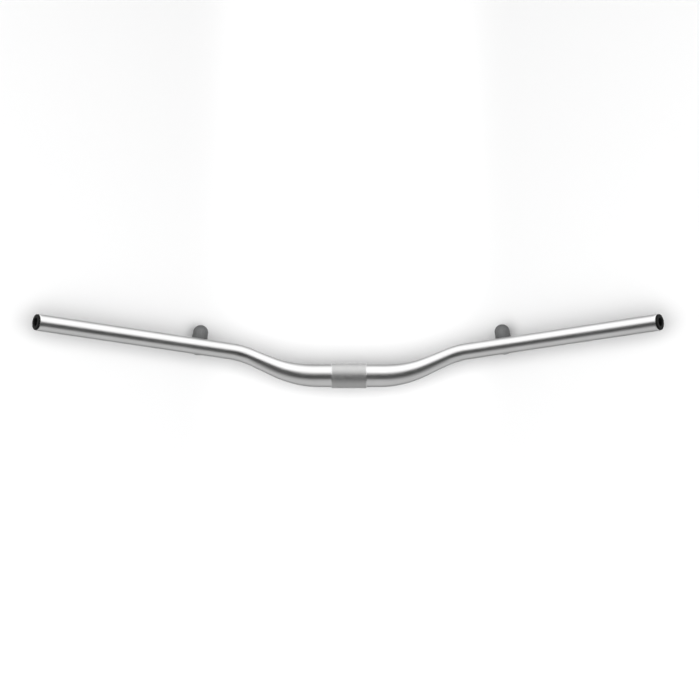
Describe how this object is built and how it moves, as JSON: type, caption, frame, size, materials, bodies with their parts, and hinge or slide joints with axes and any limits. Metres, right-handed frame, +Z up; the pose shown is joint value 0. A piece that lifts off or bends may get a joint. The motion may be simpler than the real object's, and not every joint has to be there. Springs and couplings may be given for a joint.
{
  "type": "motorcycle handlebar",
  "caption": "Tapered tubular motorcycle handlebar with a slight rise and swept-back ends, a clamp sleeve in the middle, capped mirror bosses and end plugs.",
  "frame": {"origin": "on the bar's axis, in the middle of the clamp sleeve", "axes": "+X along the clamp zone towards the rider's right, +Y forward away from the rider, +Z up with the bar as fitted; the grips sweep back towards -Y and rise"},
  "size_m": [0.825, 0.2037, 0.1001],
  "materials": {
    "bar": "satin polished, clear anodised",
    "sleeve": "bead-blasted matt",
    "boss": "turned, satin",
    "weld": "as welded",
    "cap": "moulded, matt",
    "plug": "moulded, fine matt"
  },
  "bodies": {
    "root": {"bar_tube": "bar", "clamp_sleeve": "sleeve", "mirror_boss_left": "boss", "mirror_boss_right": "boss", "weld_bead_left": "weld", "weld_bead_right": "weld", "boss_cap_left": "cap", "boss_cap_right": "cap", "end_plug_left": "plug", "end_plug_right": "plug"}
  },
  "joints": []
}
